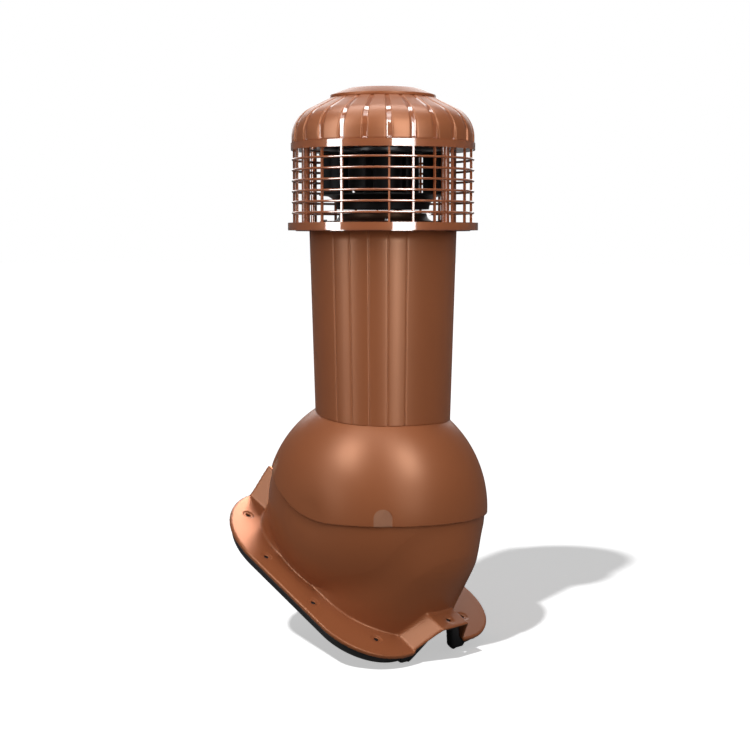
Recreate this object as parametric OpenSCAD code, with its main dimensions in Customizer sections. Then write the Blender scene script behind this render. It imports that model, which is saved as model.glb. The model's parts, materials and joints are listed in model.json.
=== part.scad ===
// Roof exhaust fan with a ball-jointed chimney, for a profiled sheet roof.
// The roof base follows the slope; the chimney tilts on the ball so that it stands upright.

/* [Roof base] */
// Roof pitch that the model is drawn at, degrees
roof_pitch = 30; // [30:0.5:45]
// Width of the pan across the slope
pan_w = 290; // [282:1:310]
// Lower end of the pan, measured down the slope from the ball's centre
pan_front = 180; // [178:1:190]
// Upper end of the pan, measured up the slope from the ball's centre
pan_rear = 162; // [160:1:172]
// Radius of the two lower corners of the pan
pan_front_r = 80; // [60:1:95]
// Radius of the two upper corners of the pan
pan_rear_r = 115; // [90:1:120]
// Wall of the moulded base
base_wall = 3; // [2.5:0.1:3.5]
// Depth of the turned-down edge of the pan
pan_lip = 5.5; // [4:0.5:7]
// Height of the ball's centre above the roof sheet
seat_to_ball = 114; // [113:0.5:118]
// Height of the pan's top face above the roof sheet
pan_h = 22; // [20:0.5:24]
// Width of the roof rib channel at the pan
rib_foot_w = 100; // [92:1:104]
// Width of the roof rib channel at its top
rib_top_w = 50; // [40:1:60]
// Height of the roof rib channel above the pan
rib_h = 38; // [32:1:40]
// Overhang of the rib channel's end over its foot
rib_flare = 11; // [6:1:13]
// Half width of the drape between ball and pan
drape_r = 101; // [98:1:103]
// Centre of the lower round of the drape, down the slope
drape_front = 57; // [52:1:58]
// Centre of the upper round of the drape, up the slope
drape_rear = 36; // [32:1:38]
// Radius that leads the drape off the ball
drape_round = 110; // [90:1:130]
// Diameter of the roof screw holes
screw_hole_d = 5.6; // [4.5:0.1:6.5]
// Diameter of the dimple round each roof screw hole
dimple_d = 15; // [12:0.5:18]
// Width of the rubber seal
seal_w = 14; // [10:1:15]

/* [Ball joint] */
// Diameter of the ball in the plane that it tilts in
ball_d = 300; // [298:1:304]
// Width of the ball along its tilt axis
ball_w = 258; // [256:1:262]
// Wall of the ball cover
cover_wall = 2.8; // [2.4:0.1:3]
// Running gap between ball cover and base
ball_gap = 0.7; // [0.5:0.1:1]
// Height of the cover's lower edge under the ball's centre
cover_edge = 6.6; // [4:0.2:9]
// Slope of the cover's edge on the rear half, degrees
cover_slope = 30; // [27:0.5:31]
// Radius that blends the two stretches of the cover's edge
cover_blend = 129; // [100:1:150]
// Upper rim of the base's opening, degrees above the slope
rim_rear = 5; // [3:0.5:7]
// Lower rim of the base's opening, degrees above the slope
rim_front = 112; // [108:1:118]
// Width of the arched pockets in the cover
pocket_w = 23; // [18:1:26]
// Depth of the arched pockets
pocket_depth = 1.2; // [0.8:0.1:1.4]

/* [Chimney] */
// Distance of the chimney's axis from the ball's centre
pipe_offset = 12.2; // [10:0.2:14]
// Height of the fan base above the ball's centre
fan_h = 357; // [320:1:400]
// Distance from the duct to the outside of the outer pipe, under the fan base
jacket_top = 19.6; // [19:0.1:21]
// Distance from the duct to the outside of the outer pipe, where it meets the ball
jacket_low = 12.4; // [12:0.1:14]
// Height at which the lower distance is measured
pipe_low_h = 120; // [115:1:125]
// Wall of the outer pipe
pipe_wall = 2.5; // [2:0.1:2.8]
// Outer diameter of the duct
duct_d = 150; // [148:0.5:152]
// Wall of the duct
duct_wall = 2.5; // [1.5:0.1:3]
// Offset of the duct spigot towards the rear
spigot_shift = 18.6; // [14:0.2:20]
// Length of the spigot under the ball's centre
spigot_low = 53; // [48:1:56]
// Height of the spigot's top end above the ball's centre
spigot_top = 62; // [56:1:66]
// Height of the duct's lower end above the ball's centre
duct_low = 117; // [113:1:121]
// Width of the bayonet slots in the spigot
slot_w = 26; // [18:1:30]
// Height of the bayonet slots
slot_h = 6.2; // [4:0.2:8]

/* [Fan head] */
// Radius of the fan base disc
fan_base_r = 122; // [121:0.5:124]
// Thickness of the fan base disc
fan_base_t = 9.6; // [8:0.2:12]
// Clear height of the grille
grille_h = 92.2; // [90:0.1:94]
// Outer radius of the grille's rings
grille_r = 117; // [116:0.2:117.4]
// Number of rings in the grille
ring_count = 6; // [4:1:7]
// Distance between two rings
ring_pitch = 13.57; // [12:0.01:14]
// Height of one ring
ring_t = 2.9; // [2:0.1:4]
// Width of one upright bar
bar_w = 2.4; // [2:0.1:4]
// Angle between two upright bars, degrees
bar_step = 15; // [15, 20, 30]
// Radius of the circle that the posts stand on
post_circle_r = 103; // [102:0.1:104]
// Diameter of the posts
post_d = 10.6; // [9:0.2:12]
// Height of the top ring
top_ring_h = 9.1; // [8.6:0.1:12]
// Outer radius of the top ring
top_ring_r = 118; // [117.6:0.1:119]
// Radius of the hood at its rim
hood_r = 117; // [116.6:0.1:117.4]
// Radius of the hood's shoulder
shoulder_r = 39.6; // [36:0.2:42]
// Straight height of the hood under the shoulder
hood_skirt = 8; // [6:0.5:12]
// Slope of the hood's crown, degrees
crown_slope = 26.5; // [24:0.5:28]
// Wall of the hood
hood_wall = 2.6; // [2.2:0.1:3]
// Depth of the hood's grooves
groove_depth = 0.9; // [0.5:0.1:1.2]
// Width of the hood's grooves, degrees
groove_angle = 3.8; // [3:0.1:7]
// Radius of the cap lid
cap_r = 67.6; // [65:0.2:70]
// Radius of the cap lid's flat top
cap_top_r = 44.4; // [38:0.2:50]

/* [Fan] */
// Outer radius of the impeller
wheel_r = 82; // [76:0.5:84]
// Number of impeller blades
blade_count = 9; // [7:1:11]
// Radius of the curve of one blade
blade_curve = 52; // [46:1:60]
// Height of the inlet nozzle's throat above the fan base's underside
nozzle_top = 21.6; // [20:0.2:23]
// Radius of the nozzle's throat
nozzle_r = 54; // [52:0.5:55]
// Radius of the neck of the impeller's inlet ring
neck_r = 59.3; // [58.5:0.1:60.5]
// Radius of the motor's rotor bell
bell_r = 46; // [45:0.5:48]
// Diameter of the motor's shaft
shaft_d = 8; // [7:0.5:9]

/* [Conduit] */
// Outer diameter of the cable conduit
conduit_d = 8; // [7:0.2:8.4]
// Diameter of the cable inside the conduit
cable_d = 5.4; // [4:0.2:5.6]
// Distance of the conduit's upright run from the chimney's axis
conduit_y = 122.2; // [122:0.1:124]
// Radius of the conduit's upper bend
bend_top_r = 17; // [14:0.5:18]
// Radius of the conduit's lower bend
bend_low_r = 12; // [10:0.5:13]
// Rise of the conduit's lower end towards the pipe, degrees
conduit_rise = 6.6; // [4:0.2:9]

/* [Hidden] */
$fn = 128;

copper = [0.56, 0.31, 0.19];
dark_brown = [0.25, 0.14, 0.09];
steel = [0.72, 0.73, 0.75];
black = [0.06, 0.06, 0.06];

eps = 0.01;
big = 400;
seat_gap = 0.3;
slip = 0.3;

// The ball is a surface of revolution about the tilt axis: a half round that stands off the axis.
ball_r = ball_d / 2;
cover_round = ball_w / 2;
ball_core = ball_r - cover_round;
cover_inner = cover_round - cover_wall;
base_round = cover_inner - ball_gap;
base_inner = base_round - base_wall;
base_r = ball_core + base_round;

// Roof base, in the slope's own frame
ball_n = seat_to_ball;
rib_top_n = pan_h + rib_h;
pan_under = pan_h - base_wall;
lowest_pitch = 30;
// Angle above the slope at which the drape leaves the ball, under the cover's edge at the lowest pitch
drape_tangent = 180 + atan(cover_edge / ball_r) - lowest_pitch - 4;
drape_lean = 180 - drape_tangent;
// Height of the centre of that radius, so that its straight end runs tangent to the ball
drape_round_n = ball_n
    + (base_r - drape_round - (drape_front + drape_r - drape_round) * cos(drape_lean)) / sin(drape_lean);
rim_mid = (rim_rear + rim_front) / 2;
rim_level = base_r * cos((rim_front - rim_rear) / 2);
seal_inset = 4;
seal_band = 17;
flange_mid = (pan_w / 2 + drape_r) / 2;
// Roof screw holes on one side of the pan, as [across, up the slope]
side_holes = [[86, -142], [flange_mid, -58], [flange_mid, 38], [85, 121]];
rib_hole_front = -(pan_front + drape_front + drape_r) / 2 - 5;
rib_hole_rear = (pan_rear + drape_rear + drape_r) / 2 + 6;
rib_draft = (rib_foot_w - rib_top_w) / 2 / rib_h;
// Half-width over which the rib seals replace the side strips
rib_cut = rib_top_w / 2 + rib_draft * rib_top_n;

// Chimney
duct_r = duct_d / 2;
pipe_top_r = duct_r + jacket_top;
pipe_low_r = duct_r + jacket_low;
pipe_taper = (pipe_top_r - pipe_low_r) / (fan_h - pipe_low_h);
pleats = [-90, -75, -60, -45, -30, 30, 45, 60, 75, 90, 150, 165, 180, 195, 210];
collar_wall = 2.6;
collar_low = ball_r - 70;
collar_top = ball_r + 15;
sleeve_low = collar_top + 6;
socket_wall = 2.4;
socket_h = 12;
neck_step = 1.5;
lip_h = 10;

// Fan head, in heights above the fan base's underside
ring_low = grille_h + fan_base_t;
ring_top = ring_low + top_ring_h;
ledge_t = 2.1;
plate_low = ring_low + ledge_t;
plate_t = 2;
plate_r = top_ring_r - 6.3;
post_angles = [0, 120, 240];
post_screw_r = 2.2;
post_hole_r = 2.7;
post_head_r = 4.6;
post_sink = 3.4;
shoulder_z = ring_top + hood_skirt;
shoulder_c = hood_r - shoulder_r;
crown_r0 = shoulder_c + shoulder_r * sin(crown_slope);
crown_z0 = shoulder_z + shoulder_r * cos(crown_slope);
crown_top_z = crown_z0 + (crown_r0 - cap_r) * tan(crown_slope);
cap_z = crown_top_z + seat_gap;
cap_rim_h = 3.3;
cap_rise = 8.7;
mouth_r = 67;
first_ring = fan_base_t + 12.4;

// Fan
wheel_top = ring_low - 5.8;
back_t = 1.8;
inlet_round = wheel_r - 5.2 - neck_r;
inlet_z = nozzle_top + 5.3;
inlet_t = 1.8;
bell_wall = 2.5;
bell_low = 52;
air_gap = 0.6;
core_r = bell_r - bell_wall - 5.5;
tube_r = 14;
bearing_r = 11;
bearing_h = 7;
shaft_r = shaft_d / 2;
shaft_clear = 0.05;
rivet_r = 2;
bearing_low = bell_low + 9;
bearing_high = plate_low - bearing_h - 4.5;
core_low = bearing_low + 6;
core_h = 24;
motor_screw_r = 33;

// Terminal box and capacitor, on the motor plate
box_z = plate_low + plate_t;
box_w = 58;
box_d = 36;
box_h = 20;
box_y = 46;
can_r = 14;
can_y = -48;
can_z = box_z + can_r + 2.2;

// Conduit, in the chimney's frame
conduit_top = fan_h + crown_z0 + 2.6;
conduit_inner_y = 66;
bend_low_z = fan_h - 29.2;
conduit_r = conduit_d / 2;
conduit_bore_r = conduit_r - 1;
// Where the conduit's lower end meets the outer pipe, and where it stops inside
grommet_start = round(conduit_y - bend_low_r - pipe_r(bend_low_z) - 0.5);
conduit_end = grommet_start + 10;
// The straight lower end starts inside the bend, a hair thinner than it
bend_lap = 0.4;
bend_step = 0.03;
conduit_clear = 0.3;
grommet_r = conduit_r + 2;

module in_base() {
    rotate([roof_pitch, 0, 0]) children();
}

module in_chimney() {
    translate([0, -seat_to_ball * sin(roof_pitch), seat_to_ball * cos(roof_pitch)])
        translate([0, -pipe_offset, 0])
            children();
}

module in_head() {
    in_chimney() translate([0, 0, fan_h]) children();
}

module at_ball() {
    translate([0, pipe_offset, 0]) children();
}

// Points of an arc, from one angle to another in a number of steps
function arc(c, r, from, to, count) =
    [for (i = [0 : count]) let (a = from + (to - from) * i / count) c + r * [cos(a), sin(a)]];

// Solid ball for a given radius of its round, about the tilt axis
module ball(round_r) {
    rotate([0, 90, 0])
        rotate_extrude()
            polygon(concat([[0, -round_r]], arc([ball_core, 0], round_r, -90, 90, 36), [[0, round_r]]));
}

module tube(r_out, r_in, h) {
    difference() {
        cylinder(r = r_out, h = h);
        translate([0, 0, -1]) cylinder(r = r_in, h = h + 2);
    }
}

module post_places(r = post_circle_r) {
    for (a = post_angles) rotate([0, 0, a - 90]) translate([r, 0, 0]) children();
}

// Round-cornered outline of the pan, brought in by inset
module pan_outline(inset) {
    w = pan_w / 2 - inset;
    front_r = pan_front_r - inset;
    rear_r = pan_rear_r - inset;
    front_y = pan_front - pan_front_r;
    rear_y = pan_rear - pan_rear_r;
    union() {
        for (side = [-1, 1]) {
            translate([side * (w - front_r), -front_y]) circle(r = front_r);
            translate([side * (w - rear_r), rear_y]) circle(r = rear_r);
        }
        polygon([
            [-(w - front_r), -pan_front + inset], [w - front_r, -pan_front + inset],
            [w, -front_y], [w, rear_y],
            [w - rear_r, pan_rear - inset], [-(w - rear_r), pan_rear - inset],
            [-w, rear_y], [-w, -front_y]
        ]);
    }
}

// Solid under the rib channel's skin, for a skin brought in by wall; its ends lean out over the pan
module rib_body(wall, low, end_inset) {
    top_half = rib_top_w / 2 - wall * (sqrt(1 + rib_draft * rib_draft) - rib_draft);
    foot_half = top_half + rib_draft * (rib_top_n - wall - low);
    front = pan_front - 2.5 - end_inset;
    rear = pan_rear - 2.5 - end_inset;
    reach = rib_flare / rib_h;
    intersection() {
        rotate([90, 0, 0])
            translate([0, 0, -big])
                linear_extrude(2 * big)
                    polygon([[-foot_half, low], [foot_half, low], [top_half, rib_top_n - wall],
                        [-top_half, rib_top_n - wall]]);
        rotate([90, 0, 90])
            translate([0, 0, -big])
                linear_extrude(2 * big)
                    polygon([
                        [-front + reach * (pan_h - low), low], [rear - reach * (pan_h - low), low],
                        [rear + rib_flare, rib_top_n + eps], [-front - rib_flare, rib_top_n + eps]
                    ]);
    }
}

// Solid of the drape that leads the ball down to the pan, for a skin brought in by wall
module drape_body(wall, low) {
    r = drape_r - wall;
    arc_r = drape_round - wall;
    round_off = arc([r - arc_r, drape_round_n], arc_r, 0, drape_lean, 7);
    arc_top = round_off[7];
    line_n = ball_n + (base_r - wall) * sin(drape_lean);
    line_r = arc_top[0] - (line_n - arc_top[1]) * tan(drape_lean);
    rear_top = ball_n - 20;
    translate([0, -drape_front, 0])
        rotate_extrude()
            polygon(concat([[0, low], [r, low]], round_off, [[line_r, line_n], [0, line_n]]));
    translate([0, drape_rear, low]) cylinder(r = r, h = rear_top - low);
    translate([-r, -drape_front, low]) cube([2 * r, drape_front + drape_rear, rear_top - low]);
}

module base_shell() {
    edge_n = pan_h - pan_lip;
    in_base() color(copper) difference() {
        union() {
            translate([0, 0, edge_n]) linear_extrude(pan_lip) pan_outline(0);
            rib_body(0, edge_n, 0);
            drape_body(0, pan_under);
            translate([0, 0, ball_n]) ball(base_round);
        }
        translate([-big, -big, edge_n - 2 * big]) cube(2 * big);
        translate([0, 0, edge_n - 1]) linear_extrude(pan_lip - base_wall + 1) pan_outline(base_wall);
        rib_body(base_wall, edge_n - 1, -20);
        drape_body(base_wall, edge_n - 1);
        intersection() {
            translate([0, 0, ball_n]) ball(base_inner);
            translate([-drape_r + base_wall, -big, edge_n - 1]) cube([2 * (drape_r - base_wall), 2 * big, big]);
        }
        intersection() {
            translate([0, 0, ball_n]) ball(base_inner);
            translate([-big, -big, pan_h + base_wall]) cube([2 * big, 2 * big, big]);
        }
        // Opening for the chimney
        translate([0, 0, ball_n]) rotate([rim_mid, 0, 0]) translate([-big, rim_level, -big])
            cube([2 * big, big, 2 * big]);
        roof_holes();
    }
}

module roof_holes() {
    dimple_depth = 0.8;
    for (side = [-1, 1]) for (p = side_holes) translate([side * p[0], p[1], 0]) {
        cylinder(r = screw_hole_d / 2, h = pan_h + 1);
        translate([0, 0, pan_h - dimple_depth]) cylinder(r = dimple_d / 2, h = dimple_depth + 1);
    }
    rib_holes() {
        cylinder(r = screw_hole_d / 2, h = rib_top_n + 1);
        translate([0, 0, rib_top_n - dimple_depth]) cylinder(r = dimple_d / 2, h = dimple_depth + 1);
    }
}

module rib_holes() {
    for (y = [rib_hole_front, rib_hole_rear]) translate([0, y, 0]) children();
}

// Rubber bead under the edge of the pan; it climbs over the roof rib under the rib channel
module seal_ring() {
    side_gap = 0.4;
    crest = rib_top_n - base_wall;
    crest_half = rib_top_w / 2 - base_wall * 0.6 - side_gap / 2;
    foot_half = crest_half + rib_draft * (crest - pan_under);
    arch_n = crest - seal_band;
    arch_half = crest_half - seal_band * 0.42;
    arch_foot = arch_half + rib_draft * arch_n;
    intersection() {
        translate([0, 0, -1]) linear_extrude(rib_top_n + 2) difference() {
            pan_outline(seal_inset);
            pan_outline(seal_inset + seal_w);
        }
        rotate([90, 0, 0]) translate([0, 0, -big]) linear_extrude(2 * big) polygon([
            [-big, 0], [-arch_foot, 0], [-arch_half, arch_n], [arch_half, arch_n], [arch_foot, 0], [big, 0],
            [big, pan_under], [foot_half, pan_under], [crest_half, crest],
            [-crest_half, crest], [-foot_half, pan_under], [-big, pan_under]
        ]);
    }
}

// Strips along both sides of the pan, cut square where they meet the rib seals
module roof_seal() {
    in_base() color(black) difference() {
        seal_ring();
        translate([-rib_cut, -big, -2]) cube([2 * rib_cut, 2 * big, rib_top_n + 4]);
    }
}

// Profiled seals at the front and the rear that close the rib channel over the roof rib
module rib_seals() {
    in_base() color(black) difference() {
        intersection() {
            seal_ring();
            translate([-rib_cut, -big, -2]) cube([2 * rib_cut, 2 * big, rib_top_n + 4]);
        }
        rib_holes() cylinder(r = screw_hole_d / 2 + 0.6, h = rib_top_n);
    }
}

// Everything under the cover's lower edge, in the tilt plane
module cover_cut() {
    corner_y = 3;
    c = [corner_y - cover_blend * tan(cover_slope / 2), cover_blend - cover_edge];
    far = [corner_y + big * cos(cover_slope), big * sin(cover_slope) - cover_edge];
    rotate([90, 0, 90]) translate([0, 0, -big]) linear_extrude(2 * big)
        polygon(concat([[big, -big], [-big, -big], [-big, -cover_edge]],
            arc(c, cover_blend, -90, cover_slope - 90, 6), [far]));
}

// Arched flat pocket, turned to an azimuth and raised by a tilt about the tilt axis
module pocket(azimuth, tilt, low, high) {
    facet = ball_core * abs(cos(azimuth)) + cover_round - pocket_depth;
    rotate([tilt, 0, 0]) rotate([0, 0, azimuth]) translate([0, -facet, 0]) rotate([90, 0, 0]) linear_extrude(20) {
        translate([-pocket_w / 2, low]) square([pocket_w, high - pocket_w / 2 - low]);
        translate([0, high - pocket_w / 2]) circle(r = pocket_w / 2);
    }
}

module ball_cover() {
    pocket_top = 15.6;
    pocket_tilt = 31;
    in_chimney() color(copper) difference() {
        union() {
            at_ball() ball(cover_round);
            pipe_cone(collar_low, collar_top, pipe_wall + seat_gap);
        }
        at_ball() ball(cover_inner);
        pipe_cone(collar_low - 20, collar_top + 1, pipe_wall + seat_gap + collar_wall);
        at_ball() cover_cut();
        at_ball() for (side = [-1, 1]) {
            pocket(45 * side, 0, -40, pocket_top);
            pocket(135 * side, pocket_tilt, -40, pocket_top - 2);
        }
    }
}

function pipe_r(z) = pipe_top_r - (fan_h - z) * pipe_taper;

// Solid cone of the outer pipe between two heights, brought in by inset
module pipe_cone(low, high, inset) {
    translate([0, 0, low]) cylinder(r1 = pipe_r(low) - inset, r2 = pipe_r(high) - inset, h = high - low);
}

module outer_pipe() {
    low = ball_r - 60;
    pleat_w = 0.9;
    pleat_depth = 0.5;
    lean = atan(pipe_taper);
    in_chimney() color(copper) difference() {
        pipe_cone(low, fan_h, 0);
        pipe_cone(low - 1, fan_h + 1, pipe_wall);
        at_ball() ball(cover_round + seat_gap);
        for (a = pleats) rotate([0, 0, a - 90]) translate([pipe_r(low) - pleat_depth, 0, low])
            rotate([0, lean, 0]) translate([0, -pleat_w / 2, -5]) cube([3, pleat_w, fan_h]);
        conduit_tail(grommet_r, 0, 0, conduit_end);
    }
}

module insulation_sleeve() {
    top = fan_h - lip_h - 0.5;
    in_chimney() color([0.85, 0.84, 0.8]) difference() {
        pipe_cone(sleeve_low, top, pipe_wall + slip);
        translate([0, 0, sleeve_low - 1]) cylinder(r = duct_r + slip, h = top);
        conduit_tail(grommet_r + 0.2, 0, 0, conduit_end + 5);
    }
}

module inner_duct() {
    in_chimney() color(steel) translate([0, 0, duct_low]) tube(duct_r, duct_r - duct_wall, fan_h - duct_low);
}

// Its upper end is necked to go into the adapter's socket
module duct_spigot() {
    slot_z = -36.5;
    neck_low = spigot_top - socket_h - 2.5;
    in_chimney() color(steel) translate([0, spigot_shift, 0]) difference() {
        translate([0, 0, -spigot_low]) union() {
            cylinder(r = duct_r, h = spigot_low + neck_low);
            cylinder(r = duct_r - neck_step, h = spigot_low + spigot_top);
        }
        translate([0, 0, -spigot_low - 1]) cylinder(r = duct_r - duct_wall, h = spigot_low + spigot_top + 2);
        for (a = [45, 135, 225, 315]) rotate([0, 0, a])
            translate([duct_r - duct_wall - 5, -slot_w / 2, slot_z]) cube([20, slot_w, slot_h]);
    }
}

// Sloping sleeve that joins the duct to the spigot, with a socket at each end
module offset_adapter() {
    r_in = duct_r + slip;
    r_out = r_in + socket_wall;
    in_chimney() color(dark_brown) difference() {
        union() {
            translate([0, 0, duct_low]) cylinder(r = r_out, h = socket_h);
            hull() {
                translate([0, 0, duct_low - eps]) cylinder(r = r_out, h = eps, $fn = 48);
                translate([0, spigot_shift, spigot_top]) cylinder(r = r_out, h = eps, $fn = 48);
            }
            translate([0, spigot_shift, spigot_top - socket_h]) cylinder(r = r_out, h = socket_h);
        }
        translate([0, 0, duct_low]) cylinder(r = r_in, h = socket_h + 1);
        translate([0, spigot_shift, spigot_top - socket_h - 1]) cylinder(r = r_in - neck_step, h = socket_h + 1);
        hull() {
            translate([0, 0, duct_low]) cylinder(r = duct_r - duct_wall, h = eps, $fn = 48);
            translate([0, spigot_shift, spigot_top - eps]) cylinder(r = duct_r - duct_wall, h = eps, $fn = 48);
        }
    }
}

// The conduit's route, from inside the hood to inside the outer pipe, in stretches that touch.
// Each stretch is a bar of radius r with a bore, or a full bar where bore is 0
module conduit_way(r, bore, start, finish) {
    top_y = conduit_y - bend_top_r;
    translate([0, conduit_inner_y + start, conduit_top]) rotate([-90, 0, 0])
        bar(r, bore, top_y - conduit_inner_y - start);
    translate([0, top_y, conduit_top - bend_top_r]) rotate([90, 0, 90])
        bend(bend_top_r, r, bore, 90);
    translate([0, conduit_y, bend_low_z]) bar(r, bore, conduit_top - bend_top_r - bend_low_z);
    in_low_bend() bend(bend_low_r, r, bore, 90 + conduit_rise);
    conduit_tail(r - bend_step, bore > 0 ? bore + bend_step : 0, -bend_lap, finish);
}

module in_low_bend() {
    translate([0, conduit_y - bend_low_r, bend_low_z]) mirror([0, 0, 1]) rotate([90, 0, 90]) children();
}

// Straight lower end of the route, between two distances from the bend
module conduit_tail(r, bore, start, finish) {
    in_low_bend() rotate([0, 0, 90 + conduit_rise]) translate([bend_low_r, start, 0]) rotate([-90, 0, 0])
        bar(r, bore, finish - start);
}

module bar(r, bore, h) {
    difference() {
        cylinder(r = r, h = h, $fn = 48);
        if (bore > 0) translate([0, 0, -1]) cylinder(r = bore, h = h + 2, $fn = 48);
    }
}

module bend(bend_r, r, bore, turn) {
    rotate_extrude(angle = turn) translate([bend_r, 0]) difference() {
        circle(r = r, $fn = 48);
        if (bore > 0) circle(r = bore, $fn = 48);
    }
}

module cable_conduit() {
    in_chimney() color(copper) conduit_way(conduit_r, conduit_bore_r, 0, conduit_end);
}

// Runs in the conduit, then down into the terminal box
module motor_cable() {
    turn_r = 14;
    turn_y = box_y + turn_r;
    low_z = fan_h + box_z + box_h + 3;
    in_chimney() color(black) {
        conduit_way(cable_d / 2, 0, turn_y - conduit_inner_y, conduit_end + 3);
        translate([0, turn_y, conduit_top - turn_r]) rotate([90, 0, 90]) rotate([0, 0, 90])
            bend(turn_r, cable_d / 2, 0, 90);
        translate([0, box_y, low_z]) bar(cable_d / 2, 0, conduit_top - turn_r - low_z);
    }
}

// Rubber ring in the outer pipe's hole for the conduit
module conduit_grommet() {
    in_chimney() color(black)
        conduit_tail(grommet_r - 0.1, conduit_r + 0.1, grommet_start, grommet_start + 6);
}

module fan_base() {
    lip_r = pipe_r(fan_h - lip_h) - pipe_wall - slip;
    socket_r = duct_r + slip;
    step_r = 112;
    step_h = 1;
    in_head() color(copper) difference() {
        union() {
            cylinder(r = fan_base_r, h = fan_base_t);
            translate([0, 0, -step_h]) tube(step_r, pipe_top_r + seat_gap, step_h);
            translate([0, 0, -lip_h]) tube(lip_r, lip_r - 2, lip_h);
            translate([0, 0, -lip_h + 2]) tube(socket_r + 2, socket_r, lip_h - 2);
        }
        translate([0, 0, -1]) cylinder(r = mouth_r, h = fan_base_t + 2);
        translate([0, conduit_y, -1]) cylinder(r = conduit_r + conduit_clear, h = fan_base_t + 2);
        post_places() {
            translate([0, 0, -2]) cylinder(r = post_hole_r, h = fan_base_t + 3, $fn = 32);
            translate([0, 0, -2]) cylinder(r = post_head_r + 0.4, h = post_sink + 2, $fn = 32);
        }
        nozzle_screw_places() translate([0, 0, fan_base_t - 8]) cylinder(r = 1.6, h = 9, $fn = 32);
    }
}

module nozzle_screw_places() {
    for (a = [45 : 90 : 315]) rotate([0, 0, a]) translate([mouth_r + 8, 0, 0]) children();
}

module inlet_nozzle() {
    round_r = nozzle_top - fan_base_t;
    wall = 2;
    in_head() color(dark_brown) difference() {
        rotate_extrude() union() {
            intersection() {
                translate([nozzle_r + round_r, nozzle_top]) difference() {
                    circle(r = round_r);
                    circle(r = round_r - wall);
                }
                translate([nozzle_r - 1, fan_base_t - 1]) square([round_r + 1, round_r + 1]);
            }
            translate([nozzle_r + round_r, fan_base_t]) square([mouth_r + 14 - nozzle_r - round_r, wall]);
        }
        nozzle_screw_places() translate([0, 0, fan_base_t - 1]) cylinder(r = 2.1, h = wall + 2, $fn = 32);
    }
}

module nozzle_screws() {
    in_head() color(steel) nozzle_screw_places() {
        translate([0, 0, fan_base_t - 7]) cylinder(r = 1.5, h = 9, $fn = 32);
        translate([0, 0, fan_base_t + 2]) cylinder(r = 3.2, h = 2, $fn = 32);
    }
}

// Bars stand every bar_step degrees, except in front of the conduit and beside the two front posts
bar_angles = [for (a = [0 : bar_step : 359]) if (a != 60 && a != 180 && a != 300) a];

module grille_cage() {
    eye_r = 7.4;
    edge = ring_t / 2;
    in_head() color(copper) difference() {
        union() {
            for (i = [0 : ring_count - 1]) translate([0, 0, first_ring + i * ring_pitch]) {
                rotate_extrude() {
                    translate([grille_r - edge, 0]) circle(r = edge, $fn = 32);
                    translate([grille_r - edge - 2, -edge]) square([2, ring_t]);
                }
                translate([0, conduit_y, -edge]) cylinder(r = eye_r, h = ring_t, $fn = 48);
            }
            for (a = bar_angles) rotate([0, 0, a - 90])
                translate([grille_r - edge - 3, -bar_w / 2, fan_base_t]) cube([3, bar_w, grille_h]);
        }
        translate([0, conduit_y, 0]) cylinder(r = conduit_r + conduit_clear, h = ring_low, $fn = 48);
    }
}

module posts() {
    thread_h = 18;
    in_head() color(copper) post_places() translate([0, 0, fan_base_t]) difference() {
        cylinder(r = post_d / 2, h = grille_h, $fn = 48);
        translate([0, 0, -1]) cylinder(r = post_screw_r, h = thread_h + 1, $fn = 32);
        translate([0, 0, grille_h - thread_h]) cylinder(r = post_screw_r, h = thread_h + 1, $fn = 32);
    }
}

module post_screws() {
    head_h = 3;
    grip = 16;
    in_head() color(steel) post_places() {
        translate([0, 0, post_sink - head_h]) cylinder(r = post_head_r, h = head_h, $fn = 32);
        translate([0, 0, post_sink]) cylinder(r = post_screw_r, h = fan_base_t + grip - post_sink, $fn = 32);
        translate([0, 0, ring_low - grip]) cylinder(r = post_screw_r, h = grip + ledge_t + plate_t, $fn = 32);
        translate([0, 0, box_z]) cylinder(r = post_head_r, h = head_h, $fn = 32);
    }
}

module top_ring() {
    wall = 6;
    in_head() color(copper) difference() {
        union() {
            translate([0, 0, ring_low]) tube(top_ring_r, top_ring_r - wall, top_ring_h);
            translate([0, 0, ring_low]) tube(top_ring_r - 1, post_circle_r - 9, ledge_t);
        }
        post_places() translate([0, 0, ring_low - 1]) cylinder(r = post_hole_r, h = ledge_t + 2, $fn = 32);
        translate([0, conduit_y, ring_low - 1]) cylinder(r = conduit_r + conduit_clear, h = top_ring_h + 2, $fn = 48);
    }
}

module motor_screw_places() {
    for (a = [45 : 90 : 315]) rotate([0, 0, a]) translate([motor_screw_r, 0, 0]) children();
}

module motor_plate() {
    in_head() color(steel) difference() {
        translate([0, 0, plate_low]) cylinder(r = plate_r, h = plate_t);
        post_places() translate([0, 0, plate_low - 1]) cylinder(r = post_hole_r, h = plate_t + 2, $fn = 32);
        motor_screw_places() translate([0, 0, plate_low - 1]) cylinder(r = 2.2, h = plate_t + 2, $fn = 32);
        translate([0, 0, plate_low - 1]) cylinder(r = 6, h = plate_t + 2, $fn = 48);
    }
}

// Cast flange that hangs the motor under its plate; the stator and both bearings sit on its tube
module motor_flange() {
    flange_t = 3.5;
    in_head() color(steel) difference() {
        union() {
            translate([0, 0, plate_low - flange_t]) cylinder(r = bell_r - 2, h = flange_t);
            translate([0, 0, bearing_low]) cylinder(r = tube_r, h = plate_low - bearing_low - 1);
        }
        translate([0, 0, bearing_low - 1]) cylinder(r = bearing_r, h = bearing_h + 1);
        translate([0, 0, bearing_low]) cylinder(r = bearing_r - 2, h = bearing_high - bearing_low + 1);
        translate([0, 0, bearing_high]) cylinder(r = bearing_r, h = plate_low - bearing_high + 1);
        motor_screw_places() translate([0, 0, plate_low - flange_t - 1]) cylinder(r = 1.8, h = flange_t + 2, $fn = 32);
    }
}

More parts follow.
